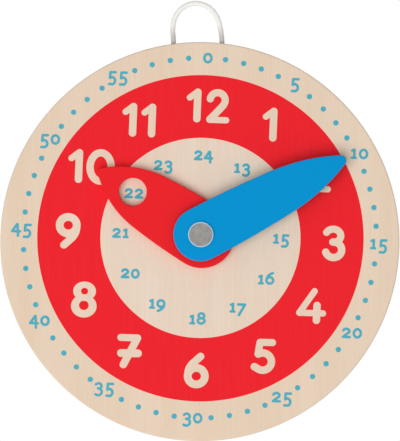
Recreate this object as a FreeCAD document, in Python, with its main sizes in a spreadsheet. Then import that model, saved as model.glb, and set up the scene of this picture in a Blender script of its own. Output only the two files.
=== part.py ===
import FreeCAD, Part
import math
import os

import Sketcher

# A wooden teaching clock for a classroom wall: a round plywood board with a printed dial, an hour
# hand and a minute hand that are set by a finger, and a cord loop to hang it by. The hands have no
# gears: each turns by itself on one steel post, and a disc spring behind the board presses the
# stack together, so that a hand stays where it is put.
#
# Millimetres and degrees. The dial looks towards -Y, +X is to the reader's right and +Z is up. The
# origin is the hanging point: the top of the loop's inside, on the board's upright centre line and
# in the middle of its thickness. Angles on the dial run clockwise from 12 o'clock.

SIZES = [
    # board
    ("board_diameter", 210.0, "round plywood board"),
    ("board_thickness", 8.0, "board, front face to back face"),
    ("board_easing", 0.8, "bevel that takes the sharpness off both rims"),
    ("loop_rise", 19.0, "hanging point above the top of the board's rim"),
    ("dial_turn", 2.2, "how far the printed dial sits clockwise of upright"),
    ("pivot_right", 0.5, "pivot to the right of the board's centre"),
    ("pivot_up", 3.7, "pivot above the board's centre"),
    # hour hand
    ("hour_length", 63.4, "pivot to tip"),
    ("hour_end_radius", 17.8, "round end about the pivot"),
    ("hour_flank_radius", 280.0, "long arc of each side"),
    ("hour_nose_radius", 58.0, "arc that closes in on the tip"),
    ("hour_tip_radius", 2.2, "rounded tip"),
    ("hour_thickness", 4.0, "plywood of the hour hand"),
    ("hour_reading", 300.0, "ten hours, as an angle on the dial"),
    ("window_diameter", 14.6, "round window that frames a 24-hour figure"),
    ("window_distance", 41.8, "pivot to the window's centre"),
    # minute hand
    ("minute_length", 86.5, "pivot to tip"),
    ("minute_end_radius", 14.3, "round end about the pivot"),
    ("minute_flank_radius", 460.0, "long arc of each side"),
    ("minute_nose_radius", 68.0, "arc that closes in on the tip"),
    ("minute_tip_radius", 1.9, "rounded tip"),
    ("minute_thickness", 4.0, "plywood of the minute hand"),
    ("minute_reading", 60.0, "ten minutes, as an angle on the dial"),
    ("hand_easing", 0.6, "bevel on the edges of both hands and of the window"),
    # pivot post, a plain-headed barrel that is threaded inside
    ("post_diameter", 6.0, "barrel that the hands turn on"),
    ("post_head_diameter", 13.3, "flat head in front of the minute hand"),
    ("post_head_thickness", 1.8, "head, measured along the pivot"),
    ("post_head_bevel", 0.5, "bevel round the head's face"),
    ("post_bore_spare", 1.0, "blind bore beyond the screw's tip"),
    ("running_clearance", 0.07, "radial, between the barrel and a hand"),
    ("washer_clearance", 0.2, "radial, between the barrel and what doesn't turn"),
    # washers in front of the board
    ("dial_washer_diameter", 20.0, "fibre washer between board and hour hand"),
    ("dial_washer_thickness", 0.8, "the same, along the pivot"),
    ("hand_washer_diameter", 16.0, "fibre washer between the hands"),
    ("hand_washer_thickness", 0.8, "the same, along the pivot"),
    # fastening sunk in the back of the board
    ("recess_clearance", 1.0, "radial, between the rear washer and its round recess"),
    ("rear_washer_diameter", 15.0, "flat steel washer on the recess's floor"),
    ("rear_washer_thickness", 1.0, "the same, along the pivot"),
    ("disc_spring_clearance", 0.5, "radial, between the barrel and the disc spring"),
    ("disc_spring_width", 2.0, "ring width of the disc spring"),
    ("disc_spring_stock", 0.4, "spring steel, along the pivot"),
    ("disc_spring_height", 0.8, "pressed disc spring, from its outer rim to its inner rim"),
    ("screw_diameter", 4.0, "thread of the pivot screw"),
    ("screw_clearance", 0.05, "radial, between the screw and its bore"),
    ("screw_reach", 8.0, "screw, under its head"),
    ("screw_head_diameter", 11.0, "flat slotted head"),
    ("screw_head_thickness", 1.8, "the same, along the pivot"),
    ("screw_head_bevel", 0.4, "bevel round the head and at the screw's tip"),
    ("screw_slot_width", 1.2, "driver slot"),
    ("screw_slot_depth", 0.9, "driver slot"),
    ("screw_head_recess", 0.3, "how far the head lies below the board's back"),
    # hanging loop
    ("cord_diameter", 2.7, "round braided cord"),
    ("cord_hole_clearance", 0.15, "radial, filled with glue"),
    ("cord_hole_left", 13.7, "left hole, from the board's upright centre line"),
    ("cord_hole_right", 11.9, "right hole, from the board's upright centre line"),
    ("cord_hole_depth", 10.0, "floor of both holes below the top of the board's rim"),
]

# The cord's route from the floor of the left hole to the floor of the right one, as X and Z from
# the hanging point. It lies in the middle plane of the board, and its arch leans a little left.
CORD_ROUTE = [
    (-13.7, -29.0),
    (-13.7, -19.7),
    (-14.5, -10.3),
    (-12.4, -3.9),
    (-7.6, 0.5),
    (-1.3, 1.8),
    (4.9, -0.3),
    (9.1, -5.2),
    (10.9, -11.2),
    (11.9, -20.1),
    (11.9, -29.0),
]
ARC_SHARE = 0.45  # of the shorter run beside a turn, which its arc takes up
SAME_PLANE = 1e-6  # how far an edge may lie from a plane and still count as in it

doc = FreeCAD.newDocument("TeachingClock")


def make_sheet():
    """The spreadsheet of driving sizes: name, value and what it measures."""
    sheet = doc.addObject("Spreadsheet::Sheet", "Sizes")
    for row, (alias, value, meaning) in enumerate(SIZES, start=1):
        sheet.set(f"A{row}", alias)
        sheet.set(f"B{row}", str(value))
        sheet.set(f"C{row}", meaning)
        sheet.setAlias(f"B{row}", alias)
    doc.recompute()
    return sheet


SHEET = make_sheet()


def size(alias):
    """A size's value, for geometry that Python works out itself."""
    return float(SHEET.get(alias))


# Where each face of the stack lies along Y, as expressions of the sizes. It is built up from the
# board's middle plane: forwards (-Y) to the post's head and backwards (+Y) to the screw's head.
BOARD_FRONT = "(-Sizes.board_thickness / 2)"
BOARD_BACK = "(Sizes.board_thickness / 2)"
HOUR_BACK = f"({BOARD_FRONT} - Sizes.dial_washer_thickness)"
HOUR_FRONT = f"({HOUR_BACK} - Sizes.hour_thickness)"
MINUTE_BACK = f"({HOUR_FRONT} - Sizes.hand_washer_thickness)"
MINUTE_FRONT = f"({MINUTE_BACK} - Sizes.minute_thickness)"
POST_FACE = f"({MINUTE_FRONT} - Sizes.post_head_thickness)"
SCREW_FACE = f"({BOARD_BACK} - Sizes.screw_head_recess)"
SCREW_SEAT = f"({SCREW_FACE} - Sizes.screw_head_thickness)"
SPRING_SEAT = f"({SCREW_SEAT} - Sizes.disc_spring_height)"
RECESS_FLOOR = f"({SPRING_SEAT} - Sizes.rear_washer_thickness)"

PIVOT_X = "Sizes.pivot_right"
BOARD_Z = "(-Sizes.loop_rise - Sizes.board_diameter / 2)"
PIVOT_Z = f"({BOARD_Z} + Sizes.pivot_up)"
HAND_BORE = "(Sizes.post_diameter / 2 + Sizes.running_clearance)"
FIXED_BORE = "(Sizes.post_diameter / 2 + Sizes.washer_clearance)"


def place(item, x, y, z, turn=None):
    """Ties an item's place, and its clockwise turn about the dial's normal, to expressions."""
    item.Placement = FreeCAD.Placement(FreeCAD.Vector(), FreeCAD.Rotation(FreeCAD.Vector(0, 1, 0), 0))
    for axis, expression in (("x", x), ("y", y), ("z", z)):
        item.setExpression(f"Placement.Base.{axis}", expression)
    if turn:
        item.Placement.Rotation = FreeCAD.Rotation(FreeCAD.Vector(0, 1, 0), 1)
        item.setExpression("Placement.Rotation.Angle", turn)


def new_body(name):
    body = doc.addObject("PartDesign::Body", name)
    body.Label = name
    return body


def new_sketch(body, name, role, offset=None):
    """A sketch on one of the body's own origin planes, moved along its normal by an expression."""
    sketch = body.newObject("Sketcher::SketchObject", name)
    plane = next(f for f in body.Origin.OriginFeatures if f.Role == role)
    sketch.AttachmentSupport = [(plane, "")]
    sketch.MapMode = "FlatFace"
    if offset:
        sketch.setExpression("AttachmentOffset.Base.z", offset)
    return sketch


def dimension(sketch, constraint, expression):
    """Adds a constraint whose value follows an expression."""
    index = sketch.addConstraint(constraint)
    sketch.setExpression(f"Constraints[{index}]", expression)


def draw_circle(sketch, radius, x="0", y="0"):
    """A circle with its radius and centre tied to expressions."""
    circle = sketch.addGeometry(Part.Circle(FreeCAD.Vector(), FreeCAD.Vector(0, 0, 1), 1), False)
    dimension(sketch, Sketcher.Constraint("Radius", circle, 1.0), radius)
    if (x, y) == ("0", "0"):
        sketch.addConstraint(Sketcher.Constraint("Coincident", circle, 3, -1, 1))
        return
    for kind, value, axis in (("DistanceX", x, -2), ("DistanceY", y, -1)):
        if value == "0":
            sketch.addConstraint(Sketcher.Constraint("PointOnObject", circle, 3, axis))
        else:
            dimension(sketch, Sketcher.Constraint(kind, -1, 1, circle, 3, 1.0), value)


def draw_section(sketch, corners):
    """A closed chain of straight lines whose corners, (x, y), are tied to expressions.

    The lines start on a parabola, where no two are in line, and the constraints then place them.
    """
    count = len(corners)
    spots = [FreeCAD.Vector(i + 1, i * i + 1, 0) for i in range(count)]
    lines = [
        sketch.addGeometry(Part.LineSegment(spots[i], spots[(i + 1) % count]), False)
        for i in range(count)
    ]
    for i, line in enumerate(lines):
        sketch.addConstraint(Sketcher.Constraint("Coincident", line, 2, lines[(i + 1) % count], 1))
    for line, (x, y) in zip(lines, corners):
        for kind, value, axis in (("DistanceX", x, -2), ("DistanceY", y, -1)):
            if value == "0":
                sketch.addConstraint(Sketcher.Constraint("PointOnObject", line, 1, axis))
            else:
                dimension(sketch, Sketcher.Constraint(kind, -1, 1, line, 1, 1.0), value)


def cut(body, name, sketch, depth=None, backwards=True):
    """A pocket: towards +Y of an XZ sketch if backwards, and right through without a depth."""
    pocket = body.newObject("PartDesign::Pocket", name)
    pocket.Profile = sketch
    pocket.Reversed = not backwards
    if depth:
        pocket.setExpression("Length", depth)
    else:
        pocket.Type = "ThroughAll"
        pocket.Midplane = True
    before = body.Tip.Shape.Volume if body.Tip != pocket else pocket.BaseFeature.Shape.Volume
    doc.recompute()
    if not pocket.Shape.Volume < before:
        raise RuntimeError(f"{body.Label}: {name} cuts nothing")
    return pocket


def ease_edges(body, name, bevel, depths):
    """A bevel on every edge of the body's last feature that lies in one of the planes Y = depth."""
    base = body.Tip
    edges = [
        f"Edge{i}"
        for i, edge in enumerate(base.Shape.Edges, start=1)
        if any(lies_in_plane(edge, depth) for depth in depths)
    ]
    easing = body.newObject("PartDesign::Chamfer", name)
    easing.Base = (base, edges)
    easing.setExpression("Size", bevel)
    doc.recompute()
    return easing


def lies_in_plane(edge, depth):
    """Whether the whole edge lies in the plane Y = depth."""
    box = edge.BoundBox
    return max(abs(box.YMin - depth), abs(box.YMax - depth)) < SAME_PLANE


def turned(name, corners, y):
    """A piece turned about the pivot, from its half section: radius and depth behind its front."""
    body = new_body(name)
    section = new_sketch(body, f"{name}_section", "XY_Plane")
    draw_section(section, corners)
    revolution = body.newObject("PartDesign::Revolution", f"{name}_turning")
    revolution.Profile = section
    revolution.ReferenceAxis = (section, ["V_Axis"])
    revolution.Angle = 360
    place(body, PIVOT_X, y, PIVOT_Z)
    doc.recompute()
    return body


def make_board():
    """The round board, with the pivot's bore, the recess behind it and two holes for the cord."""
    body = new_body("dial_board")
    outline = new_sketch(body, "board_outline", "XZ_Plane")
    draw_circle(outline, "Sizes.board_diameter / 2")
    plate = body.newObject("PartDesign::Pad", "board_plate")
    plate.Profile = outline
    plate.Midplane = True
    plate.setExpression("Length", "Sizes.board_thickness")
    doc.recompute()
    half = size("board_thickness") / 2
    ease_edges(body, "board_rims", "Sizes.board_easing", (-half, half))
    bore = new_sketch(body, "pivot_bore_outline", "XZ_Plane")
    draw_circle(bore, FIXED_BORE, "Sizes.pivot_right", "Sizes.pivot_up")
    cut(body, "pivot_bore", bore)
    recess = new_sketch(body, "recess_outline", "XZ_Plane", f"-{RECESS_FLOOR}")
    recess_radius = "Sizes.rear_washer_diameter / 2 + Sizes.recess_clearance"
    draw_circle(recess, recess_radius, "Sizes.pivot_right", "Sizes.pivot_up")
    cut(body, "rear_recess", recess, f"{BOARD_BACK} - {RECESS_FLOOR}")
    hole_floor = "Sizes.board_diameter / 2 - Sizes.cord_hole_depth"
    holes = new_sketch(body, "cord_hole_outlines", "XY_Plane", hole_floor)
    hole_radius = "Sizes.cord_diameter / 2 + Sizes.cord_hole_clearance"
    draw_circle(holes, hole_radius, "-Sizes.cord_hole_left")
    draw_circle(holes, hole_radius, "Sizes.cord_hole_right")
    cut(body, "cord_holes", holes, "Sizes.board_diameter / 2", backwards=False)
    place(body, "0", "0", BOARD_Z)
    return body


def hand_arcs(hand):
    """The six arcs of a hand's outline as (centre, radius, start angle, end angle), anticlockwise.

    The pivot is at (0, 0) and the tip points along +y. Each side is a long flank arc that leaves
    the round end square to the hand, and a nose arc that is tangent to the flank and to the tip.
    The flank's centre lies on the x axis. A nose arc that touches both has its centre where its
    distances to the flank's and the tip's centres are the differences of the radii.
    """
    end = size(f"{hand}_end_radius")
    flank = size(f"{hand}_flank_radius")
    nose = size(f"{hand}_nose_radius")
    tip = size(f"{hand}_tip_radius")
    tip_height = size(f"{hand}_length") - tip
    flank_back = flank - end
    gap = flank - nose
    reach = math.hypot(flank_back, tip_height)
    along = (flank_back**2 + gap**2 + tip_height**2 - (nose - tip) ** 2) / (2 * gap)
    lift = math.atan2(tip_height, flank_back) - math.acos(along / reach)
    nose_x = gap * math.cos(lift) - flank_back
    nose_y = gap * math.sin(lift)
    close = math.atan2(tip_height - nose_y, -nose_x)
    return [
        ((0, 0), end, math.pi, 2 * math.pi),
        ((-flank_back, 0), flank, 0, lift),
        ((nose_x, nose_y), nose, lift, close),
        ((0, tip_height), tip, close, math.pi - close),
        ((-nose_x, nose_y), nose, math.pi - close, math.pi - lift),
        ((flank_back, 0), flank, math.pi - lift, math.pi),
    ]


def draw_hand(sketch, hand):
    """The outline of a hand: six tangent arcs, with their radii tied to the sheet."""
    arcs = [
        sketch.addGeometry(
            Part.ArcOfCircle(
                Part.Circle(FreeCAD.Vector(*centre, 0), FreeCAD.Vector(0, 0, 1), radius), start, end
            ),
            False,
        )
        for centre, radius, start, end in hand_arcs(hand)
    ]
    end, flank_right, nose_right, tip, nose_left, flank_left = arcs
    for arc, following in zip(arcs, arcs[1:] + arcs[:1]):
        sketch.addConstraint(Sketcher.Constraint("Tangent", arc, 2, following, 1))
    sketch.addConstraint(Sketcher.Constraint("Coincident", end, 3, -1, 1))
    sketch.addConstraint(Sketcher.Constraint("PointOnObject", flank_right, 3, -1))
    sketch.addConstraint(Sketcher.Constraint("PointOnObject", flank_left, 3, -1))
    sketch.addConstraint(Sketcher.Constraint("PointOnObject", tip, 3, -2))
    radii = {
        end: "end",
        flank_right: "flank",
        flank_left: "flank",
        nose_right: "nose",
        nose_left: "nose",
        tip: "tip",
    }
    for arc, part_of_hand in radii.items():
        alias = f"{hand}_{part_of_hand}_radius"
        dimension(sketch, Sketcher.Constraint("Radius", arc, size(alias)), f"Sizes.{alias}")
    tip_height = size(f"{hand}_length") - size(f"{hand}_tip_radius")
    dimension(
        sketch,
        Sketcher.Constraint("DistanceY", -1, 1, tip, 3, tip_height),
        f"Sizes.{hand}_length - Sizes.{hand}_tip_radius",
    )


def make_hand(hand, back):
    """A plywood hand: outline, window if it has one, eased edges, then the bore for the post."""
    body = new_body(f"{hand}_hand")
    outline = new_sketch(body, f"{hand}_outline", "XZ_Plane")
    draw_hand(outline, hand)
    plate = body.newObject("PartDesign::Pad", f"{hand}_plate")
    plate.Profile = outline
    plate.setExpression("Length", f"Sizes.{hand}_thickness")
    doc.recompute()
    if hand == "hour":
        window = new_sketch(body, "window_outline", "XZ_Plane")
        draw_circle(window, "Sizes.window_diameter / 2", y="Sizes.window_distance")
        cut(body, "window", window)
    ease_edges(body, f"{hand}_edges", "Sizes.hand_easing", (-size(f"{hand}_thickness"), 0))
    bore = new_sketch(body, f"{hand}_bore_outline", "XZ_Plane")
    draw_circle(bore, HAND_BORE)
    cut(body, f"{hand}_bore", bore)
    place(body, PIVOT_X, back, PIVOT_Z, f"Sizes.dial_turn + Sizes.{hand}_reading")
    return body


def make_post():
    """The barrel that the hands turn on, with its plain bevelled head and a blind threaded bore."""
    head = "Sizes.post_head_diameter / 2"
    barrel = "Sizes.post_diameter / 2"
    bore = "Sizes.screw_diameter / 2 + Sizes.screw_clearance"
    under_head = "Sizes.post_head_thickness"
    end = f"{SCREW_SEAT} - {POST_FACE}"
    bore_floor = f"{end} - Sizes.screw_reach - Sizes.post_bore_spare"
    corners = [
        ("0", "0"),
        (f"{head} - Sizes.post_head_bevel", "0"),
        (head, "Sizes.post_head_bevel"),
        (head, under_head),
        (barrel, under_head),
        (barrel, end),
        (bore, end),
        (bore, bore_floor),
        ("0", bore_floor),
    ]
    return turned("pivot_post", corners, POST_FACE)


def make_screw():
    """The slotted screw from behind. Its head bears on the barrel's end, which sets the grip."""
    shank = "Sizes.screw_diameter / 2"
    head = "Sizes.screw_head_diameter / 2"
    seat = "Sizes.screw_reach"
    face = "Sizes.screw_reach + Sizes.screw_head_thickness"
    corners = [
        ("0", "0"),
        (f"{shank} - Sizes.screw_head_bevel", "0"),
        (shank, "Sizes.screw_head_bevel"),
        (shank, seat),
        (head, seat),
        (head, f"{face} - Sizes.screw_head_bevel"),
        (f"{head} - Sizes.screw_head_bevel", face),
        ("0", face),
    ]
    body = turned("pivot_screw", corners, f"{SCREW_SEAT} - Sizes.screw_reach")
    slot = new_sketch(body, "slot_outline", "XZ_Plane", f"-({face})")
    side = "Sizes.screw_slot_width / 2"
    draw_section(slot, [(f"-{head}", f"-{side}"), (head, f"-{side}"), (head, side), (f"-{head}", side)])
    cut(body, "driver_slot", slot, "Sizes.screw_slot_depth", backwards=False)
    return body


def make_washer(name, diameter, thickness, front):
    """A flat washer on the barrel."""
    rim = f"{diameter} / 2"
    corners = [(FIXED_BORE, "0"), (rim, "0"), (rim, thickness), (FIXED_BORE, thickness)]
    return turned(name, corners, front)


def make_disc_spring():
    """The slightly conical spring: its outer rim bears on the rear washer, its inner on the head."""
    inner = "(Sizes.post_diameter / 2 + Sizes.disc_spring_clearance)"
    outer = f"({inner} + Sizes.disc_spring_width)"
    stock = "Sizes.disc_spring_stock"
    height = "Sizes.disc_spring_height"
    corners = [(inner, f"{height} - {stock}"), (outer, "0"), (outer, stock), (inner, height)]
    return turned("disc_spring", corners, SPRING_SEAT)


def make_loop():
    """The cord: straight runs joined by tangent arcs, swept with a round section."""
    route = [FreeCAD.Vector(x, 0, z) for x, z in CORD_ROUTE]
    edges = []
    radii = []
    start = route[0]
    for before, corner, after in zip(route, route[1:], route[2:]):
        arriving, leaving = corner - before, after - corner
        half_turn = arriving.getAngle(leaving) / 2
        setback = ARC_SHARE * min(arriving.Length, leaving.Length)
        arc_start = corner - arriving.normalize() * setback
        arc_end = corner + leaving.normalize() * setback
        radius = setback / math.tan(half_turn)
        inward = (leaving - arriving).normalize()
        middle = corner + inward * (radius / math.cos(half_turn) - radius)
        edges.append(Part.LineSegment(start, arc_start).toShape())
        edges.append(Part.Arc(arc_start, middle, arc_end).toShape())
        radii.append(radius)
        start = arc_end
    edges.append(Part.LineSegment(start, route[-1]).toShape())
    path = Part.Wire(edges)
    radius = size("cord_diameter") / 2
    section = Part.Wire(Part.makeCircle(radius, route[0], FreeCAD.Vector(0, 0, 1)))
    tube = path.makePipeShell([section], True, False)
    expected = math.pi * radius**2 * path.Length
    print(f"cord: {path.Length:.1f} mm long, arc radii " + ", ".join(f"{r:.1f}" for r in radii))
    print(f"cord: volume {tube.Volume:.1f}, section times length {expected:.1f}")
    loop = doc.addObject("Part::Feature", "hanging_loop")
    loop.Label = "hanging_loop"
    loop.Shape = tube
    return loop


parts = [
    make_board(),
    make_hand("hour", HOUR_BACK),
    make_hand("minute", MINUTE_BACK),
    make_post(),
    make_screw(),
    make_washer("dial_washer", "Sizes.dial_washer_diameter", "Sizes.dial_washer_thickness", HOUR_BACK),
    make_washer("hand_washer", "Sizes.hand_washer_diameter", "Sizes.hand_washer_thickness", MINUTE_BACK),
    make_washer("rear_washer", "Sizes.rear_washer_diameter", "Sizes.rear_washer_thickness", RECESS_FLOOR),
    make_disc_spring(),
    make_loop(),
]
doc.recompute()

failed = [item.Name for item in doc.Objects if {"Invalid", "Error"} & set(item.State)]
if failed:
    raise RuntimeError(f"failed to build: {failed}")
for part in parts:
    if part.Shape.isNull() or not part.Shape.isValid() or len(part.Shape.Solids) != 1:
        raise RuntimeError(f"{part.Label} isn't one valid solid")

os.makedirs("parts", exist_ok=True)
for part in parts:
    part.Shape.exportStep(os.path.join("parts", f"{part.Label}.step"))
    box = part.Shape.optimalBoundingBox(False)
    print(
        f"{part.Label}: {part.Shape.Volume:.1f} mm3, X {box.XMin:.2f} to {box.XMax:.2f}, "
        f"Y {box.YMin:.2f} to {box.YMax:.2f}, Z {box.ZMin:.2f} to {box.ZMax:.2f}"
    )
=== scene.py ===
import math

import bmesh
import bpy
import numpy as np
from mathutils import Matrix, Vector
from mathutils.geometry import delaunay_2d_cdt


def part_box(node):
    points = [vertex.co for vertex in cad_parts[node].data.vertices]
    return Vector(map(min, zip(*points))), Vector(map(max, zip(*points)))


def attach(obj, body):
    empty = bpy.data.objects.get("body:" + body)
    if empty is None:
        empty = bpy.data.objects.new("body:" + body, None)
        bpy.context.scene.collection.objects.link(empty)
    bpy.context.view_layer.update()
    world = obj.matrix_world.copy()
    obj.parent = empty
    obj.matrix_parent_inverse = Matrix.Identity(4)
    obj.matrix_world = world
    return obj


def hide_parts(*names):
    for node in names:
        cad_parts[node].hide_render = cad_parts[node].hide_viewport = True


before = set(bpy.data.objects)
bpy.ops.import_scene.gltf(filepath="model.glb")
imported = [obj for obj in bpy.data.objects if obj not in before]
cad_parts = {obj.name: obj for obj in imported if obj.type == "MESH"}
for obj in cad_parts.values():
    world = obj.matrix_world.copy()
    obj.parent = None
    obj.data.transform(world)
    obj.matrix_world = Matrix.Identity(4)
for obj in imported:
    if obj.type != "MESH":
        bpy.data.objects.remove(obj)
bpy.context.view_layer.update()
MM = 0.001

# ---- Camera ------------------------------------------------------------------------------------
# It stands square on to the dial and so far off that its long lens shows almost no perspective.

PICTURE_ROWS = 441
PIXEL = 0.5264 * MM  # what one pixel covers at the dial
PICTURE_CENTRE = (0.09 * MM, -112.89 * MM)
CAMERA_DISTANCE = 6.0
SENSOR_WIDTH = 36.0

camera = bpy.data.objects.new("camera", bpy.data.cameras.new("camera"))
camera.data.sensor_width = SENSOR_WIDTH
camera.data.lens = SENSOR_WIDTH * CAMERA_DISTANCE / (PICTURE_ROWS * PIXEL)
camera.location = (PICTURE_CENTRE[0], -CAMERA_DISTANCE, PICTURE_CENTRE[1])
camera.rotation_euler = (math.pi / 2, 0, 0)
bpy.context.scene.collection.objects.link(camera)
bpy.context.scene.camera = camera

# ---- Hanging loop ------------------------------------------------------------------------------
# A round braided cord of pale cotton, 2.7 mm thick. Both its ends are glued into holes drilled in
# the top edge of the board, and it stands up from there in a narrow arch that leans a little left.

CORD_DIAMETER = 2.7 * MM
# Its route from end to end, as control points in millimetres to the right and up.
CORD_ROUTE = [
    (-13.7, -29.0),
    (-13.7, -19.7),
    (-14.5, -10.3),
    (-12.4, -3.9),
    (-7.6, 0.5),
    (-1.3, 1.8),
    (4.9, -0.3),
    (9.1, -5.2),
    (10.9, -11.2),
    (11.9, -20.1),
    (11.9, -29.0),
]
CORD_STEP = 0.2 * MM  # from ring to ring of the cord's surface
CORD_SIDES = 64
BRAID_STRANDS = 8  # going round each way
BRAID_PITCH = 11.0 * MM  # one turn of a strand
BRAID_RELIEF = 0.12  # height of a strand above the valleys, as a share of the radius
BRAID_FULLNESS = 0.6  # the lower this power, the flatter a strand's crown and the sharper its edges
CORD_WHITE = "#FAF8F4"
CORD_SHADE = "#F2EFEA"
# Painted shade: the colour that stands for the board's shadow on the legs near its rim.
CORD_PAINTED_SHADE = "#CAC7C1"
SHADE_FROM, SHADE_TO = -10.0 * MM, -16.5 * MM  # heights between which painted shade darkens the legs towards the board's rim
FLUFF_SIZE = 0.8 * MM
FIBRE_SIZE = 0.15 * MM  # coarser than a cotton fibre, so that it shows
FIBRE_RELIEF = 0.04 * MM
LIGHT_REACH = 1.2 * MM  # how far light spreads between the threads
FLAT = 0.9999  # a face whose normal's Y is above this is part of a flat front or back
WELD_REACH = 1e-7  # points nearer than this are one point


def linear(colour):
    """A hex sRGB colour as linear red, green, blue and alpha 1."""
    parts = [int(colour[i : i + 2], 16) / 255 for i in (1, 3, 5)]
    return tuple(c / 12.92 if c <= 0.04045 else ((c + 0.055) / 1.055) ** 2.4 for c in parts) + (1.0,)


def set_inputs(tree, node, inputs):
    """Gives each of a node's inputs its value, or a link from another node's socket."""
    for name, value in inputs.items():
        if isinstance(value, bpy.types.NodeSocket):
            tree.links.new(value, node.inputs[name])
        else:
            node.inputs[name].default_value = value


def add_node(tree, kind, inputs=None, **settings):
    """Adds a node with its settings and its inputs."""
    node = tree.nodes.new(kind)
    for name, value in settings.items():
        setattr(node, name, value)
    set_inputs(tree, node, inputs or {})
    return node


def start_material(name):
    """A new material with one shader: returns it, its nodes, the shader and Object coordinates."""
    material = bpy.data.materials.new(name)
    material.use_nodes = True
    tree = material.node_tree
    place = add_node(tree, "ShaderNodeTexCoord").outputs["Object"]
    return material, tree, tree.nodes["Principled BSDF"], place


def add_piece(name, points, faces, material, body, soft_angle=35.0):
    """Makes a mesh object at the origin and rides it on a body.

    It is shaded smooth up to an angle, apart from the faces that look straight along Y.
    """
    mesh = bpy.data.meshes.new(name)
    mesh.from_pydata(np.asarray(points).tolist(), [], [list(face) for face in faces])
    mesh.validate()
    mesh.set_sharp_from_angle(angle=math.radians(soft_angle))
    normals = np.empty(len(mesh.polygons) * 3)
    mesh.polygons.foreach_get("normal", normals)
    mesh.polygons.foreach_set("use_smooth", np.abs(normals[1::3]) < FLAT)
    mesh.materials.append(material)
    piece = bpy.data.objects.new(name, mesh)
    bpy.context.scene.collection.objects.link(piece)
    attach(piece, body)
    return piece


def grid_faces(rows, columns):
    """The squares of a grid of points whose columns close on themselves."""
    i, j = np.meshgrid(np.arange(rows - 1), np.arange(columns), indexing="ij")
    beside = (j + 1) % columns
    corners = (i * columns + j, i * columns + beside, (i + 1) * columns + beside, (i + 1) * columns + j)
    return np.stack(corners, -1).reshape(-1, 4)


def cord_centreline(route, spacing):
    """Points at even spacing on the B-spline that the route's points pull, and their run along it.

    The spline starts and ends at the route's ends and bends smoothly towards each point between.
    """
    curve = bpy.data.curves.new("cord_line", "CURVE")
    curve.dimensions = "3D"
    spline = curve.splines.new("NURBS")
    spline.points.add(len(route) - 1)
    for point, (x, z) in zip(spline.points, route):
        point.co = (x * MM, 0, z * MM, 1)
    spline.order_u = 3
    spline.use_endpoint_u = True
    spline.resolution_u = 40
    line_object = bpy.data.objects.new("cord_line", curve)
    bpy.context.scene.collection.objects.link(line_object)
    bpy.context.view_layer.update()
    mesh = bpy.data.meshes.new_from_object(line_object)
    line = np.array([v.co for v in mesh.vertices])
    bpy.data.objects.remove(line_object)
    bpy.data.meshes.remove(mesh)
    steps = np.linalg.norm(np.diff(line, axis=0), axis=1)
    moved = steps > WELD_REACH
    line = line[np.r_[True, moved]]
    run = np.r_[0, np.cumsum(steps[moved])]
    even = np.linspace(0, run[-1], round(run[-1] / spacing) + 1)
    return np.stack([np.interp(even, run, line[:, k]) for k in range(3)], 1), even


def braided_tube(line, run, radius, around):
    """P(s, a) = C(s) + r(s, a) (cos a N(s) + sin a B), for a cord that lies in the plane Y = 0.

    C is the centreline, N the in-plane normal and B = +Y. Two families of strands wind round in
    opposite senses, with phases n a + k s and n a - k s. In each diamond between them one family
    lies on top: r is the radius less a valley that deepens as |cos| of half that family's phase,
    raised to the fullness, falls off. Both ends are closed by a ring that shrinks to a point.
    """
    along = np.gradient(line, axis=0)
    along /= np.linalg.norm(along, axis=1)[:, None]
    normal = np.stack([-along[:, 2], np.zeros(len(line)), along[:, 0]], 1)
    angle = np.linspace(0, 2 * np.pi, around, endpoint=False)
    turn = 2 * np.pi * run[:, None] / BRAID_PITCH * BRAID_STRANDS
    one = (BRAID_STRANDS * angle + turn) / 2
    other = (BRAID_STRANDS * angle - turn) / 2
    on_top = (np.floor(one / np.pi + 0.5) + np.floor(other / np.pi + 0.5)) % 2
    crown = np.where(on_top > 0, np.abs(np.cos(one)), np.abs(np.cos(other)))
    r = radius * (1 - BRAID_RELIEF * (1 - crown**BRAID_FULLNESS))
    ring = np.cos(angle)[:, None] * normal[:, None, :] + np.sin(angle)[:, None] * np.array([0, 1, 0])
    tube = line[:, None, :] + r[..., None] * ring
    tube = np.concatenate([line[:1, None] + 0 * ring[:1], tube, line[-1:, None] + 0 * ring[:1]])
    return tube.reshape(-1, 3), grid_faces(len(tube), around)


def closed_poles(piece):
    """Merges the points that coincide at poles and seams, and turns every face outwards."""
    work = bmesh.new()
    work.from_mesh(piece.data)
    bmesh.ops.remove_doubles(work, verts=work.verts, dist=WELD_REACH)
    bmesh.ops.recalc_face_normals(work, faces=work.faces)
    work.to_mesh(piece.data)
    work.free()


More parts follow.
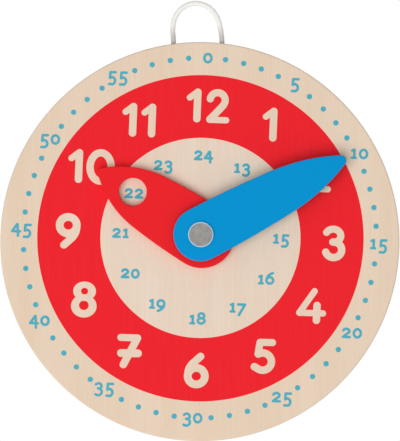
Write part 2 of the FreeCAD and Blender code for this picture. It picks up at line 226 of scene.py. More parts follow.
def braided_cotton():
    """Braided cotton: matt, soft and off-white, with a fine fluff, and painted shade that greys the legs
    towards the board's rim.
    """
    material, tree, shader, place = start_material("braided_cotton")
    height = add_node(tree, "ShaderNodeSeparateXYZ", {"Vector": place}).outputs["Z"]
    # Painted shade: the legs turn greyer towards the board's rim, standing in for the board's shadow on
    # them.
    painted_shade = add_node(
        tree, "ShaderNodeMapRange", {"Value": height, "From Min": SHADE_FROM, "From Max": SHADE_TO}
    ).outputs["Result"]
    fluff = add_node(tree, "ShaderNodeTexNoise", {"Vector": place, "Scale": 1 / FLUFF_SIZE, "Detail": 3})
    clean = add_node(
        tree,
        "ShaderNodeMix",
        {"Factor": fluff.outputs["Fac"], 6: linear(CORD_WHITE), 7: linear(CORD_SHADE)},
        data_type="RGBA",
    ).outputs[2]
    shade = add_node(
        tree, "ShaderNodeMix", {"Factor": painted_shade, 6: clean, 7: linear(CORD_PAINTED_SHADE)}, data_type="RGBA"
    ).outputs[2]
    fibre = add_node(tree, "ShaderNodeTexNoise", {"Vector": place, "Scale": 1 / FIBRE_SIZE, "Detail": 2})
    bump = add_node(
        tree, "ShaderNodeBump", {"Height": fibre.outputs["Fac"], "Strength": 0.25, "Distance": FIBRE_RELIEF}
    )
    inputs = {
        "Base Color": shade,
        "Normal": bump.outputs["Normal"],
        "Roughness": 0.85,
        "Sheen Weight": 0.8,
        "Subsurface Weight": 0.5,
        "Subsurface Radius": (1.0, 1.0, 1.0),
        "Subsurface Scale": LIGHT_REACH,
    }
    set_inputs(tree, shader, inputs)
    return material


cord_line, cord_run = cord_centreline(CORD_ROUTE, CORD_STEP)
cord_points, cord_faces = braided_tube(cord_line, cord_run, CORD_DIAMETER / 2, CORD_SIDES)
cord = add_piece("braided_loop", cord_points, cord_faces, braided_cotton(), "board", soft_angle=60)
closed_poles(cord)
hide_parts("hanging_loop")

# ---- Board -------------------------------------------------------------------------------------
# A round of birch plywood, five plies, 8 mm thick, sawn out and sanded, with both rims softened
# by hand. Its pivot hole widens behind to a round recess that takes the washers and the screw.

board_low, board_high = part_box("dial_board")
pivot_low, pivot_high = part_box("pivot_post")
screw_low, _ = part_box("pivot_screw")
washer_low, washer_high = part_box("rear_washer")
BOARD_RADIUS = (board_high.x - board_low.x) / 2
BOARD_X = (board_high.x + board_low.x) / 2
BOARD_Z = (board_high.z + board_low.z) / 2
BOARD_FRONT, BOARD_BACK = board_low.y, board_high.y
PIVOT_X = (pivot_high.x + pivot_low.x) / 2
PIVOT_Z = (pivot_high.z + pivot_low.z) / 2
RECESS_FLOOR = washer_low.y
RECESS_CLEARANCE = 1.0 * MM
RECESS_RADIUS = (washer_high.x - washer_low.x) / 2 + RECESS_CLEARANCE
BOARD_BORE_RADIUS = 3.2 * MM
BOARD_EASING = 0.8 * MM
BOARD_PLIES = 5
BOARD_SIDES = 360
BORE_SIDES = 72
ROUNDING_STEPS = 6
FILL_INSIDE = 1  # the kind of filling that gives the triangles within the outlines
FILL_REACH = 1e-9
WOOD_LIGHT = "#EAD7C5"
WOOD_DARK = "#E3CEB9"
WOOD_FLECK = "#D3B896"
WOOD_HANDLED = "#E0B783"
HANDLED_FROM, HANDLED_TO = 50 * MM, 80 * MM  # distance from the middle at which handling shows
HANDLED_COVER = 0.16
WOOD_CROSS = "#C9A983"
GLUE_LINE = "#9A7550"
GLUE_SHARE = 0.09  # a glue line's thickness, as a share of a ply's
GRAIN_WIDTH, GRAIN_LENGTH = 0.8 * MM, 45 * MM  # coarser than birch's, so that it shows
BAND_WIDTH, BAND_LENGTH = 14 * MM, 160 * MM  # broad changes of tone along the sheet
FLECK_WIDTH, FLECK_LENGTH = 0.45 * MM, 5 * MM
GRAIN_RELIEF = 0.05 * MM


def circle_outline(x, z, radius, count, hole=False):
    """Points x + r sin a, z + r cos a, and their normals, which point out of the material."""
    a = np.linspace(0, 2 * np.pi, count, endpoint=False)
    out = np.stack([np.sin(a), np.cos(a)], 1)
    return np.array([x, z]) + radius * out, -out if hole else out


def eased_edge(front, back, easing):
    """A wall's profile from front to back, as (inset, Y), with a quarter round at both ends.

    The quarter round has inset e (1 - sin t) and depth e (1 - cos t), with t from 0 to a right angle.
    """
    t = np.linspace(0, np.pi / 2, ROUNDING_STEPS + 1)
    inset, depth = easing * (1 - np.sin(t)), easing * (1 - np.cos(t))
    ahead = np.stack([inset, front + depth], 1)
    behind = np.stack([inset, back - depth], 1)
    return np.concatenate([ahead, behind[::-1]])


def fill_outlines(points, links, keep):
    """Triangles of the flat region between closed outlines whose middles pass the keep test."""
    corners, _, triangles, *_ = delaunay_2d_cdt(
        [Vector(p) for p in points.tolist()], links.tolist(), [], FILL_INSIDE, FILL_REACH
    )
    corners, triangles = np.array([tuple(c) for c in corners]), np.array(triangles)
    return corners, triangles[keep(corners[triangles].mean(1))]


def cut_from_sheet(walls, keep_front, keep_back):
    """A flat piece cut from sheet, as points and faces, from its walls: (outline, normals, profile).

    A wall is P(i, u) = outline(u) - inset_i normal(u) at Y = y_i. The first rings of all the walls
    bound the front face and the last rings the back face, and both are filled with the triangles
    that pass their keep test.
    """
    points, faces, first, last = [], [], [], []
    for outline, normals, profile in walls:
        count = len(outline)
        start = sum(len(p) for p in points)
        flat = outline[None] - profile[:, :1, None] * normals[None]
        depth = np.broadcast_to(profile[:, 1:], flat.shape[:2])
        points.append(np.stack([flat[..., 0], depth, flat[..., 1]], -1).reshape(-1, 3))
        faces += (grid_faces(len(profile), count) + start).tolist()
        ring = np.arange(count)
        link = np.stack([ring, (ring + 1) % count], 1)
        first.append((flat[0], link, profile[0, 1]))
        last.append((flat[-1], link, profile[-1, 1]))
    for rings, keep in ((first, keep_front), (last, keep_back)):
        starts = np.cumsum([0] + [len(ring) for ring, _, _ in rings])
        outline = np.concatenate([ring for ring, _, _ in rings])
        links = np.concatenate([link + s for (_, link, _), s in zip(rings, starts)])
        flat, triangles = fill_outlines(outline, links, keep)
        start = sum(len(p) for p in points)
        points.append(np.stack([flat[:, 0], np.full(len(flat), rings[0][2]), flat[:, 1]], 1))
        faces += (triangles + start).tolist()
    return np.concatenate(points), faces


def birch_plywood(name, front, back, plies, tint=None, cover=0.0):
    """Birch plywood, sanded: pale, with fine upright grain and small darker flecks on the face.

    Hands have yellowed it a little towards the rim. On the sawn edge the plies show in turn, long
    grain and cross grain, with thin brown glue lines between them. A tint of a given cover stands
    for a coat that lets a little of the grain through.
    """
    material, tree, shader, place = start_material(name)
    depth = add_node(tree, "ShaderNodeSeparateXYZ", {"Vector": place}).outputs["Y"]
    ply = add_node(
        tree,
        "ShaderNodeMapRange",
        {"Value": depth, "From Min": front, "From Max": back, "To Min": 0.0, "To Max": float(plies)},
        clamp=False,
    ).outputs["Result"]
    share = add_node(tree, "ShaderNodeMath", {0: ply}, operation="FRACT").outputs[0]
    half = add_node(tree, "ShaderNodeMath", {0: ply, 1: 0.5}, operation="MULTIPLY").outputs[0]
    parity = add_node(tree, "ShaderNodeMath", {0: half}, operation="FRACT").outputs[0]
    cross = add_node(tree, "ShaderNodeMath", {0: parity, 1: 0.5}, operation="GREATER_THAN").outputs[0]
    off_middle = add_node(tree, "ShaderNodeMath", {0: share, 1: 0.5}, operation="SUBTRACT").outputs[0]
    from_middle = add_node(tree, "ShaderNodeMath", {0: off_middle}, operation="ABSOLUTE").outputs[0]
    line = add_node(
        tree, "ShaderNodeMath", {0: from_middle, 1: 0.5 - GLUE_SHARE / 2}, operation="GREATER_THAN"
    ).outputs[0]
    # The two faces have no glue on them: only what is half a ply or more from both can be a line.
    inner = add_node(
        tree, "ShaderNodeMath", {0: ply, 1: plies / 2, 2: plies / 2 - 0.5}, operation="COMPARE"
    ).outputs[0]
    glue = add_node(tree, "ShaderNodeMath", {0: line, 1: inner}, operation="MULTIPLY").outputs[0]
    across, along = 1 / GRAIN_WIDTH, 1 / GRAIN_LENGTH
    upright = add_node(
        tree, "ShaderNodeMapping", {"Vector": place, "Scale": (across, across, along)}
    ).outputs[0]
    sideways = add_node(
        tree, "ShaderNodeMapping", {"Vector": place, "Scale": (along, across, across)}
    ).outputs[0]
    fibres = add_node(
        tree, "ShaderNodeMix", {"Factor": cross, 4: upright, 5: sideways}, data_type="VECTOR"
    ).outputs[1]
    grain = add_node(
        tree, "ShaderNodeTexNoise", {"Vector": fibres, "Scale": 1.0, "Detail": 4, "Roughness": 0.6}
    ).outputs["Fac"]
    across, along = 1 / BAND_WIDTH, 1 / BAND_LENGTH
    banded = add_node(
        tree, "ShaderNodeMapping", {"Vector": place, "Scale": (across, across, along)}
    ).outputs[0]
    bands = add_node(
        tree, "ShaderNodeTexNoise", {"Vector": banded, "Scale": 1.0, "Detail": 3}
    ).outputs["Fac"]
    both = add_node(tree, "ShaderNodeMix", {"Factor": 0.45, 2: grain, 3: bands}).outputs[0]
    face = add_node(tree, "ShaderNodeValToRGB", {"Fac": both})
    face.color_ramp.elements[0].position = 0.36
    face.color_ramp.elements[0].color = linear(WOOD_DARK)
    face.color_ramp.elements[1].position = 0.6
    face.color_ramp.elements[1].color = linear(WOOD_LIGHT)
    across, along = 1 / FLECK_WIDTH, 1 / FLECK_LENGTH
    spotted = add_node(
        tree, "ShaderNodeMapping", {"Vector": place, "Scale": (across, across, along)}
    ).outputs[0]
    fleck = add_node(
        tree, "ShaderNodeTexNoise", {"Vector": spotted, "Scale": 1.0, "Detail": 1}
    ).outputs["Fac"]
    spot = add_node(
        tree,
        "ShaderNodeMapRange",
        {"Value": fleck, "From Min": 0.66, "From Max": 0.78, "To Min": 0.0, "To Max": 0.5},
    ).outputs["Result"]
    flecked = add_node(
        tree,
        "ShaderNodeMix",
        {"Factor": spot, 6: face.outputs["Color"], 7: linear(WOOD_FLECK)},
        data_type="RGBA",
    ).outputs[2]
    centred = add_node(
        tree, "ShaderNodeMapping", {"Vector": place, "Location": (-BOARD_X, 0, -BOARD_Z), "Scale": (1, 0, 1)}
    ).outputs[0]
    away = add_node(tree, "ShaderNodeVectorMath", {0: centred}, operation="LENGTH").outputs["Value"]
    touched = add_node(
        tree,
        "ShaderNodeMapRange",
        {"Value": away, "From Min": HANDLED_FROM, "From Max": HANDLED_TO, "To Max": HANDLED_COVER},
    ).outputs["Result"]
    handled = add_node(
        tree, "ShaderNodeMix", {"Factor": touched, 6: flecked, 7: linear(WOOD_HANDLED)}, data_type="RGBA"
    ).outputs[2]
    crossed = add_node(
        tree, "ShaderNodeMix", {"Factor": cross, 6: handled, 7: linear(WOOD_CROSS)}, data_type="RGBA"
    ).outputs[2]
    colour = add_node(
        tree, "ShaderNodeMix", {"Factor": glue, 6: crossed, 7: linear(GLUE_LINE)}, data_type="RGBA"
    ).outputs[2]
    if tint:
        colour = add_node(
            tree, "ShaderNodeMix", {"Factor": cover, 6: colour, 7: linear(tint)}, data_type="RGBA"
        ).outputs[2]
    bump = add_node(
        tree, "ShaderNodeBump", {"Height": grain, "Strength": 0.25, "Distance": GRAIN_RELIEF}
    )
    inputs = {
        "Base Color": colour,
        "Normal": bump.outputs["Normal"],
        "Roughness": 0.62,
        "Specular IOR Level": 0.25,
    }
    set_inputs(tree, shader, inputs)
    return material


def outside_hole(x, z, radius):
    """A keep test: farther than the radius from the hole's middle."""
    return lambda middles: np.hypot(middles[:, 0] - x, middles[:, 1] - z) > radius


recess_step = RECESS_RADIUS - BOARD_BORE_RADIUS
bore_profile = [(0, BOARD_FRONT), (0, RECESS_FLOOR), (recess_step, RECESS_FLOOR), (recess_step, BOARD_BACK)]
board_walls = [
    (
        *circle_outline(BOARD_X, BOARD_Z, BOARD_RADIUS, BOARD_SIDES),
        eased_edge(BOARD_FRONT, BOARD_BACK, BOARD_EASING),
    ),
    (
        *circle_outline(PIVOT_X, PIVOT_Z, BOARD_BORE_RADIUS, BORE_SIDES, hole=True),
        np.array(bore_profile),
    ),
]
board_points, board_faces = cut_from_sheet(
    board_walls,
    outside_hole(PIVOT_X, PIVOT_Z, BOARD_BORE_RADIUS),
    outside_hole(PIVOT_X, PIVOT_Z, RECESS_RADIUS),
)
board_wood = birch_plywood("birch_plywood", BOARD_FRONT, BOARD_BACK, BOARD_PLIES)
board = add_piece("plywood_board", board_points, board_faces, board_wood, "board")
closed_poles(board)
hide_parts("dial_board")

# ---- Printed dial ------------------------------------------------------------------------------
# The dial is screen printed in two inks: a broad red ring in which the hours are left bare, and in
# blue the minutes, the dots between them and an inner ring of 24-hour figures. It sits a little
# high on the board and is turned 2.2 degrees clockwise.

DIAL_X, DIAL_Z = 0.3 * MM, -122.1 * MM
DIAL_TURN = math.radians(2.2)
# The ring's outer and inner circles: the radius, and how far the middle lies above the dial's.
RING_CIRCLES = ((85.85 * MM, -0.13 * MM), (52.65 * MM, 0.05 * MM))
RING_SIDES = 720
INK_THICKNESS = 0.05 * MM
INK_SUNK = 0.02 * MM  # how far the ink lies in the wood's pores
INK_RED = "#ED222C"
INK_BLUE = "#47ABC0"
INK_GRAIN_LENGTH = 30 * MM
INK_RELIEF = 0.04 * MM
RED_WEAR, BLUE_WEAR = 0.01, 0.1  # how much of the wood shows where the ink is thinnest
ARC_STEP = 6  # degrees between the points of an arc
BEND_POINTS = 17


def arc(x, z, rx, rz, start, end):
    """The points x + rx cos a, z + rz sin a, with a from start to end degrees anticlockwise."""
    a = np.radians(np.linspace(start, end, max(3, round(abs(end - start) / ARC_STEP) + 1)))
    return np.stack([x + rx * np.cos(a), z + rz * np.sin(a)], 1)


def bend(start, pull, end):
    """A parabola (1-t)^2 start + 2t(1-t) pull + t^2 end, which leaves and arrives towards pull."""
    t = np.linspace(0, 1, BEND_POINTS)[:, None]
    start, pull, end = (np.array(p, float) for p in (start, pull, end))
    return (1 - t) ** 2 * start + 2 * t * (1 - t) * pull + t**2 * end


def pen(half_width, *pieces):
    """One stroke of a round pen: its half width and its line, joined from pieces."""
    return half_width, np.concatenate([np.atleast_2d(np.array(piece, float)) for piece in pieces])


def half_turned(strokes):
    """The same strokes turned by half a turn about the figure's middle."""
    return [(half_width, -line) for half_width, line in strokes]


# The hours, in millimetres about each figure's middle: a rounded sans serif, 19 mm tall.
HOUR_SIX = [
    pen(2.05, arc(0, -2.95, 4.5, 4.35, 0, 360)),
    pen(1.95, bend((-4.5, -2.6), (-4.6, 1.5), (-1.6, 4.2)), bend((-1.6, 4.2), (0.2, 5.9), (1.9, 7.5))),
]
HOUR_STROKES = {
    "0": [pen(1.93, arc(0, 0, 5.55, 7.45, 0, 360))],
    "1": [pen(1.65, (-2.35, 4.1), (1.5, 7.15)), pen(1.95, (1.75, 7.05), (1.7, -6.9))],
    "2": [
        pen(1.88, arc(0.1, 3.25, 3.95, 3.95, 172, -30), bend((3.5, 1.2), (2.6, -0.3), (-3.7, -7.0))),
        pen(1.65, (-3.8, -7.2), (4.95, -7.15)),
    ],
    "3": [
        pen(1.85, arc(-0.3, 3.95, 4.0, 3.5, 152, -80)),
        pen(1.93, arc(0.15, -3.4, 4.3, 4.1, 95, -160)),
        pen(1.7, (-0.6, 0.6), (0.6, 0.6)),
    ],
    "4": [
        pen(1.65, (1.7, 7.75), (-5.95, -3.85), (6.5, -3.75)),
        pen(1.95, (3.25, 0.3), (3.2, -7.5)),
    ],
    "5": [
        pen(1.85, (4.7, 7.4), (-1.85, 7.3), (-2.7, 1.1)),
        pen(1.95, arc(-0.1, -2.8, 4.6, 4.55, 122, -128), (-4.4, -5.65)),
    ],
    "6": HOUR_SIX,
    "7": [
        pen(1.85, (-4.7, 7.05), (4.15, 7.1)),
        pen(1.97, (4.0, 6.95), (-2.85, -7.15)),
        pen(2.05, (-4.3, -1.15), (4.6, -1.0)),
    ],
    "8": [
        pen(1.6, arc(0.2, 4.4, 3.45, 3.4, 0, 360)),
        pen(1.6, arc(0.2, 4.45, 4.4, 3.45, 0, 360)),
        pen(1.65, arc(0.1, -3.0, 4.2, 4.15, 0, 360)),
        pen(1.65, arc(0.1, -3.4, 5.1, 4.4, 0, 360)),
    ],
    "9": half_turned(HOUR_SIX),
}
HOURS, MINUTES = 12, 60
HOUR_ADVANCE = {"0": 16.2, "1": 10.0}  # what a figure takes up in a number, in millimetres
HOUR_FULL_ADVANCE = 14.4
HOUR_PITCH = 0.3  # of the grid on which the edge of an hour figure is found
CORNER_MARGIN = 0.05  # how near that edge comes to the grid's corners, as a share of its pitch
HOUR_CIRCLE = 69.65
# How far each hour stands from its even place on the circle, to the right and up.
HOUR_NUDGES = {
    1: (-0.5, 0.7),
    2: (0.7, 0.5),
    3: (0.4, -0.1),
    4: (-0.9, 1.4),
    5: (0.5, -0.6),
    6: (0.6, -0.1),
    7: (-0.3, -0.6),
    8: (0.3, 0.1),
    9: (-0.1, 1.1),
    10: (1.4, 0.5),
    11: (0.3, 0.4),
    12: (1.2, -0.1),
}

# The blue figures, in millimetres about the middle of a low figure such as the 0: old style, with
# a 3, 4, 5, 7 and 9 that reach below the line and a 6 and 8 that rise above the rest.
BLUE_PEN = 0.69
BLUE_SIX = [
    pen(BLUE_PEN, arc(0, -0.3, 1.9, 1.85, 0, 360)),
    pen(BLUE_PEN, bend((-1.9, -0.3), (-1.9, 2.6), (1.6, 3.9))),
]
BLUE_STROKES = {
    "0": [pen(BLUE_PEN, arc(0, 0, 1.85, 2.15, 0, 360))],
    "1": [
        pen(BLUE_PEN, (-0.85, 1.6), (0.3, 2.15), (0.3, -2.15)),
        pen(BLUE_PEN * 0.9, (-1.0, -2.2), (1.2, -2.2)),
    ],
    "2": [pen(BLUE_PEN, arc(-0.05, 0.95, 1.6, 1.22, 165, -35), (-1.75, -2.15), (1.8, -2.15))],
    "3": [
        pen(BLUE_PEN, arc(-0.05, 0.8, 1.6, 1.37, 150, -85)),
        pen(BLUE_PEN, arc(-0.2, -2.3, 1.95, 1.8, 92, -130)),
    ],
    "4": [
        pen(BLUE_PEN, (0.5, 2.3), (-2.0, -1.45), (2.1, -1.45)),
        pen(BLUE_PEN, (0.75, 2.2), (1.15, -3.8)),
    ],
    "5": [
        pen(BLUE_PEN, (1.75, 2.1), (-0.95, 2.05), (-1.1, -0.7)),
        pen(BLUE_PEN, arc(-0.05, -2.4, 1.65, 1.85, 130, -110), (-1.45, -4.2)),
    ],
    "6": BLUE_SIX,
    "7": [pen(BLUE_PEN, (-1.9, 1.95), (2.0, 1.95), (-1.3, -4.1))],
    "8": [
        pen(BLUE_PEN, arc(0, 2.3, 1.6, 1.4, 0, 360)),
        pen(BLUE_PEN, arc(0, -0.6, 1.9, 1.5, 0, 360)),
    ],
    "9": half_turned(BLUE_SIX),
}
BLUE_ADVANCE = {"1": 4.5}
BLUE_FULL_ADVANCE = 5.8
BLUE_PITCH = 0.12
MINUTE_CIRCLE = 94.7
MINUTE_NUDGES = {
    0: (0.3, 0.0),
    5: (-0.8, 1.3),
    10: (-0.2, 0.1),
    15: (-0.9, 0.3),
    20: (-0.5, 0.4),
    25: (-1.3, -0.1),
    30: (-0.7, -0.1),
    35: (-0.3, 1.4),
    40: (-0.9, 0.7),
    45: (0.5, 1.3),
    50: (0.9, 1.5),
    55: (0.6, 1.3),
}
DAY_CIRCLE = 42.0
DAY_SCALE = 0.92
DAY_NUDGES = {
    13: (-0.5, 1.1),
    14: (-0.2, 1.0),
    15: (0.4, 1.1),
    16: (-1.1, 0.4),
    17: (-0.1, 0.4),
    18: (0.0, -1.0),
    19: (-0.5, 0.8),
    20: (0.2, 0.9),
    21: (-0.1, 1.0),
    22: (0.5, 1.1),
    23: (0.0, 1.1),
    24: (-0.1, 1.4),
}
DOT_REACH = np.array([92.9, 94.75])  # the round of dots is a little taller than it is wide
DOT_NUDGE = (-0.3, 0.0)
DOT_LAG = 0.02  # how far it is turned clockwise, in minutes
DOT_RADIUS = 1.42
DOT_SIDES = 32


def outside_strokes(strokes, points):
    """How far points lie outside a figure: the least distance to a stroke, less half its width."""
    nearest = np.full(points.shape[:-1], np.inf)
    for half_width, line in strokes:
        start, step = line[:-1], np.diff(line, axis=0)
        offset = points[..., None, :] - start
        share = np.clip((offset * step).sum(-1) / np.maximum((step**2).sum(-1), 1e-12), 0, 1)
        away = np.linalg.norm(offset - share[..., None] * step, axis=-1).min(-1) - half_width
        nearest = np.minimum(nearest, away)
    return nearest


def figure_outline(strokes, pitch):
    """The outline of a figure, as points and the links between them.

    The distance is sampled on a square grid whose squares are cut into two triangles. A triangle
    whose corners lie on both sides is crossed once, from one side to another, and each crossing
    lies where the straight line through the side's two distances is zero, or just short of a
    corner of the grid, so that no two crossings fall together.
    """
    reach = max(half_width for half_width, _ in strokes) + 2 * pitch
    lines = np.concatenate([line for _, line in strokes])
    low, high = lines.min(0) - reach, lines.max(0) + reach
    columns, rows = np.ceil((high - low) / pitch).astype(int) + 1
    place = np.stack(np.meshgrid(np.arange(columns), np.arange(rows)), -1) * pitch + low
    away = outside_strokes(strokes, place).ravel()
    place = place.reshape(-1, 2)
    spot = np.arange(rows * columns).reshape(rows, columns)
    a, b, c, d = spot[:-1, :-1], spot[:-1, 1:], spot[1:, 1:], spot[1:, :-1]
    halves = [np.stack(corners, -1).reshape(-1, 3) for corners in ((a, b, c), (a, c, d))]
    triangles = np.concatenate(halves)
    inside = away[triangles] < 0
    triangles = triangles[inside.any(1) & ~inside.all(1)]
    sides = np.sort(np.stack([triangles, np.roll(triangles, -1, 1)], -1), -1)
    crossed = (away[sides[..., 0]] < 0) != (away[sides[..., 1]] < 0)
    keys, links = np.unique(sides[crossed], axis=0, return_inverse=True)
    start, end = keys.T
    share = away[start] / (away[start] - away[end])
    share = np.clip(share, CORNER_MARGIN, 1 - CORNER_MARGIN)[:, None]
    return place[start] + share * (place[end] - place[start]), links.reshape(-1, 2)


def on_dial(points, at, scale=1.0):
    """Puts points, in millimetres about a figure's middle, at a place on the turned dial."""
    x, z = (points * scale + at).T * MM
    turned_x = x * math.cos(DIAL_TURN) + z * math.sin(DIAL_TURN)
    turned_z = z * math.cos(DIAL_TURN) - x * math.sin(DIAL_TURN)
    return np.stack([DIAL_X + turned_x, DIAL_Z + turned_z], 1)


def round_the_dial(radius, turn, nudge=(0, 0)):
    """A place on a circle of the dial, a share of a turn clockwise from the top."""
    angle = 2 * math.pi * turn
    return radius * np.array([math.sin(angle), math.cos(angle)]) + nudge


def set_figures(text, at, advances, full, scale=1.0):
    """The figures of a number, side by side about a place, each with its own place."""
    widths = [advances.get(figure, full) * scale for figure in text]
    starts = np.cumsum([0] + widths[:-1]) - sum(widths) / 2
    middles = starts + np.array(widths) / 2
    return [(figure, at + np.array([middle, 0])) for figure, middle in zip(text, middles)]


def ink(name, flat, triangles, material):
    """A thin layer of ink on the board's front, as a closed mesh."""
    points = np.stack([flat[:, 0], np.full(len(flat), BOARD_FRONT - INK_THICKNESS), flat[:, 1]], 1)
    piece = add_piece(name, points, triangles, material, "board")
    piece.data.shade_flat()
    if piece.data.polygons[0].normal.y > 0:
        piece.data.flip_normals()
    layer = piece.modifiers.new("layer", "SOLIDIFY")
    layer.thickness = INK_THICKNESS + INK_SUNK
    layer.offset = -1


def ink_finish(name, colour, wear):
    """Screen-printing ink: matt, even, and a little thinner where the wood's grain stands up."""
    material, tree, shader, place = start_material(name)
    across, along = 1 / GRAIN_WIDTH, 1 / INK_GRAIN_LENGTH
    upright = add_node(
        tree, "ShaderNodeMapping", {"Vector": place, "Scale": (across, across, along)}
    ).outputs[0]
    grain = add_node(
        tree, "ShaderNodeTexNoise", {"Vector": upright, "Scale": 1.0, "Detail": 4}
    ).outputs["Fac"]
    worn = add_node(
        tree,
        "ShaderNodeMapRange",
        {"Value": grain, "From Min": 0.4, "From Max": 0.8, "To Min": 0.0, "To Max": wear},
    ).outputs["Result"]
    shade = add_node(
        tree, "ShaderNodeMix", {"Factor": worn, 6: linear(colour), 7: linear(WOOD_LIGHT)}, data_type="RGBA"
    ).outputs[2]
    bump = add_node(tree, "ShaderNodeBump", {"Height": grain, "Strength": 0.12, "Distance": INK_RELIEF})
    inputs = {
        "Base Color": shade,
        "Normal": bump.outputs["Normal"],
        "Roughness": 0.6,
        "Specular IOR Level": 0.12,
    }
    set_inputs(tree, shader, inputs)
    return material


def joined(layers):
    """Several flat layers, each points and triangles or links, as one."""
    starts = np.cumsum([0] + [len(points) for points, _ in layers])
    points = np.concatenate([points for points, _ in layers])
    return points, np.concatenate([faces + start for (_, faces), start in zip(layers, starts)])


hours = [
    (figure, at)
    for hour, nudge in HOUR_NUDGES.items()
    for figure, at in set_figures(
        str(hour), round_the_dial(HOUR_CIRCLE, hour / HOURS, nudge), HOUR_ADVANCE, HOUR_FULL_ADVANCE
    )
]
hour_outlines = {
    figure: figure_outline(strokes, HOUR_PITCH) for figure, strokes in HOUR_STROKES.items()
}


def in_red(middles):
    """The ring's keep test: between its two circles and outside every hour figure."""
    outer, inner = (
        np.hypot(middles[:, 0] - DIAL_X, middles[:, 1] - DIAL_Z - lift) - radius
        for radius, lift in RING_CIRCLES
    )
    kept = (outer < 0) & (inner > 0)
    x, z = (middles - (DIAL_X, DIAL_Z)).T / MM
    upright = np.stack(
        [
            x * math.cos(DIAL_TURN) - z * math.sin(DIAL_TURN),
            z * math.cos(DIAL_TURN) + x * math.sin(DIAL_TURN),
        ],
        1,
    )
    for figure, at in hours:
        kept &= outside_strokes(HOUR_STROKES[figure], upright - at) > 0
    return kept


ring_edge = np.arange(RING_SIDES)
ring_links = np.stack([ring_edge, (ring_edge + 1) % RING_SIDES], 1)
ring_outlines = [
    (circle_outline(DIAL_X, DIAL_Z + lift, radius, RING_SIDES)[0], ring_links)
    for radius, lift in RING_CIRCLES
]
for figure, at in hours:
    outline, links = hour_outlines[figure]
    ring_outlines.append((on_dial(outline, at), links))
red_points, red_triangles = fill_outlines(*joined(ring_outlines), in_red)
red_ink = ink_finish("red_printing_ink", INK_RED, RED_WEAR)
ink("red_ring", red_points, red_triangles, red_ink)


def blue_figures(name, circle, nudges, whole_turn, scale):
    """The blue numbers round a circle, at a scale, with the same pen at every scale."""
    layers, shapes = [], {}
    for figure, strokes in BLUE_STROKES.items():
        strokes = [(half_width / scale, line) for half_width, line in strokes]
        outline, links = figure_outline(strokes, BLUE_PITCH)
        shapes[figure] = fill_outlines(outline, links, lambda m, s=strokes: outside_strokes(s, m) < 0)
    for number, nudge in nudges.items():
        at = round_the_dial(circle, number / whole_turn, nudge)
        for figure, place in set_figures(str(number), at, BLUE_ADVANCE, BLUE_FULL_ADVANCE, scale):
            points, triangles = shapes[figure]
            layers.append((on_dial(points, place, scale), triangles))
    ink(name, *joined(layers), blue_ink)


blue_ink = ink_finish("blue_printing_ink", INK_BLUE, BLUE_WEAR)
blue_figures("minute_figures", MINUTE_CIRCLE, MINUTE_NUDGES, MINUTES, 1.0)
blue_figures("day_figures", DAY_CIRCLE, DAY_NUDGES, HOURS, DAY_SCALE)

dot_points = np.concatenate([[[0, 0]], circle_outline(0, 0, DOT_RADIUS, DOT_SIDES)[0]])
spoke = np.arange(DOT_SIDES)
dot_triangles = np.stack([0 * spoke, spoke + 1, (spoke + 1) % DOT_SIDES + 1], 1)
dot_places = [
    round_the_dial(DOT_REACH, (minute + DOT_LAG) / MINUTES, DOT_NUDGE)
    for minute in range(MINUTES)
    if minute not in MINUTE_NUDGES
]
dot_layers = [(on_dial(dot_points, at), dot_triangles) for at in dot_places]
ink("minute_dots", *joined(dot_layers), blue_ink)

# ---- Hands -------------------------------------------------------------------------------------
# Both hands are cut from 4 mm plywood of three plies, their edges rounded over, and lacquered in
# red and in blue. The red hour hand has a round window near its tip.

HAND_PLIES = 3
HAND_EASING = 0.6 * MM
HAND_BORE_RADIUS = 3.07 * MM
HAND_BORE_SIDES = 64
OUTLINE_STEP = 0.6 * MM
# A hand's length and the radii of its arcs, its reading in degrees on the dial, and how far the
# middle of its round end lies off the pivot, to its right and towards its tip.
HOUR_HAND = {"length": 64.1, "end": 17.35, "flank": 312, "nose": 53, "tip": 2.5}
HOUR_READING = 300
HOUR_OFFSET = (0.0, -0.5)
MINUTE_HAND = {"length": 86.2, "end": 14.2, "flank": 585, "nose": 104, "tip": 2.85}
MINUTE_READING = 60.15
MINUTE_OFFSET = (-0.25, -0.1)
WINDOW_RADIUS = 7.3 * MM
WINDOW_DISTANCE = 42.2 * MM  # from the pivot
WINDOW_SIDES = 96
RED_LACQUER = "#EB232A"
BLUE_LACQUER = "#0092D1"
LACQUER_COVER = 0.998


def hand_outline(length, end, flank, nose, tip):
    """The outline of a hand as points and outward normals, with its round end at 0 and the tip up.

    Six tangent arcs: a round end about 0, on each side a long flank whose centre lies on the
    level of 0 and a nose that closes in, and a rounded tip. A nose's centre lies at the
    differences of the radii from the centres of its flank and of the tip.
    """
    back, gap, top = flank - end, flank - nose, length - tip
    along = (back**2 + gap**2 + top**2 - (nose - tip) ** 2) / (2 * gap)
    lift = math.atan2(top, back) - math.acos(along / math.hypot(back, top))
    nose_x, nose_z = gap * math.cos(lift) - back, gap * math.sin(lift)
    close = math.atan2(top - nose_z, -nose_x)
    arcs = [
        (0, 0, end, math.pi, 2 * math.pi),
        (-back, 0, flank, 0, lift),
        (nose_x, nose_z, nose, lift, close),
        (0, top, tip, close, math.pi - close),
        (-nose_x, nose_z, nose, math.pi - close, math.pi - lift),
        (back, 0, flank, math.pi - lift, math.pi),
    ]
    points, normals = [], []
    for x, z, radius, start, stop in arcs:
        count = max(8, round(radius * (stop - start) / OUTLINE_STEP))
        a = np.linspace(start, stop, count, endpoint=False)
        out = np.stack([np.cos(a), np.sin(a)], 1)
        points.append(np.array([x, z]) + radius * out)
        normals.append(out)
    return np.concatenate(points), np.concatenate(normals)


def turned_about_pivot(vectors, reading):
    """Vectors turned clockwise by a reading of the dial and the dial's own turn."""
    angle = math.radians(reading) + DIAL_TURN
    x, z = vectors.T
    return np.stack(
        [x * math.cos(angle) + z * math.sin(angle), z * math.cos(angle) - x * math.sin(angle)], 1
    )


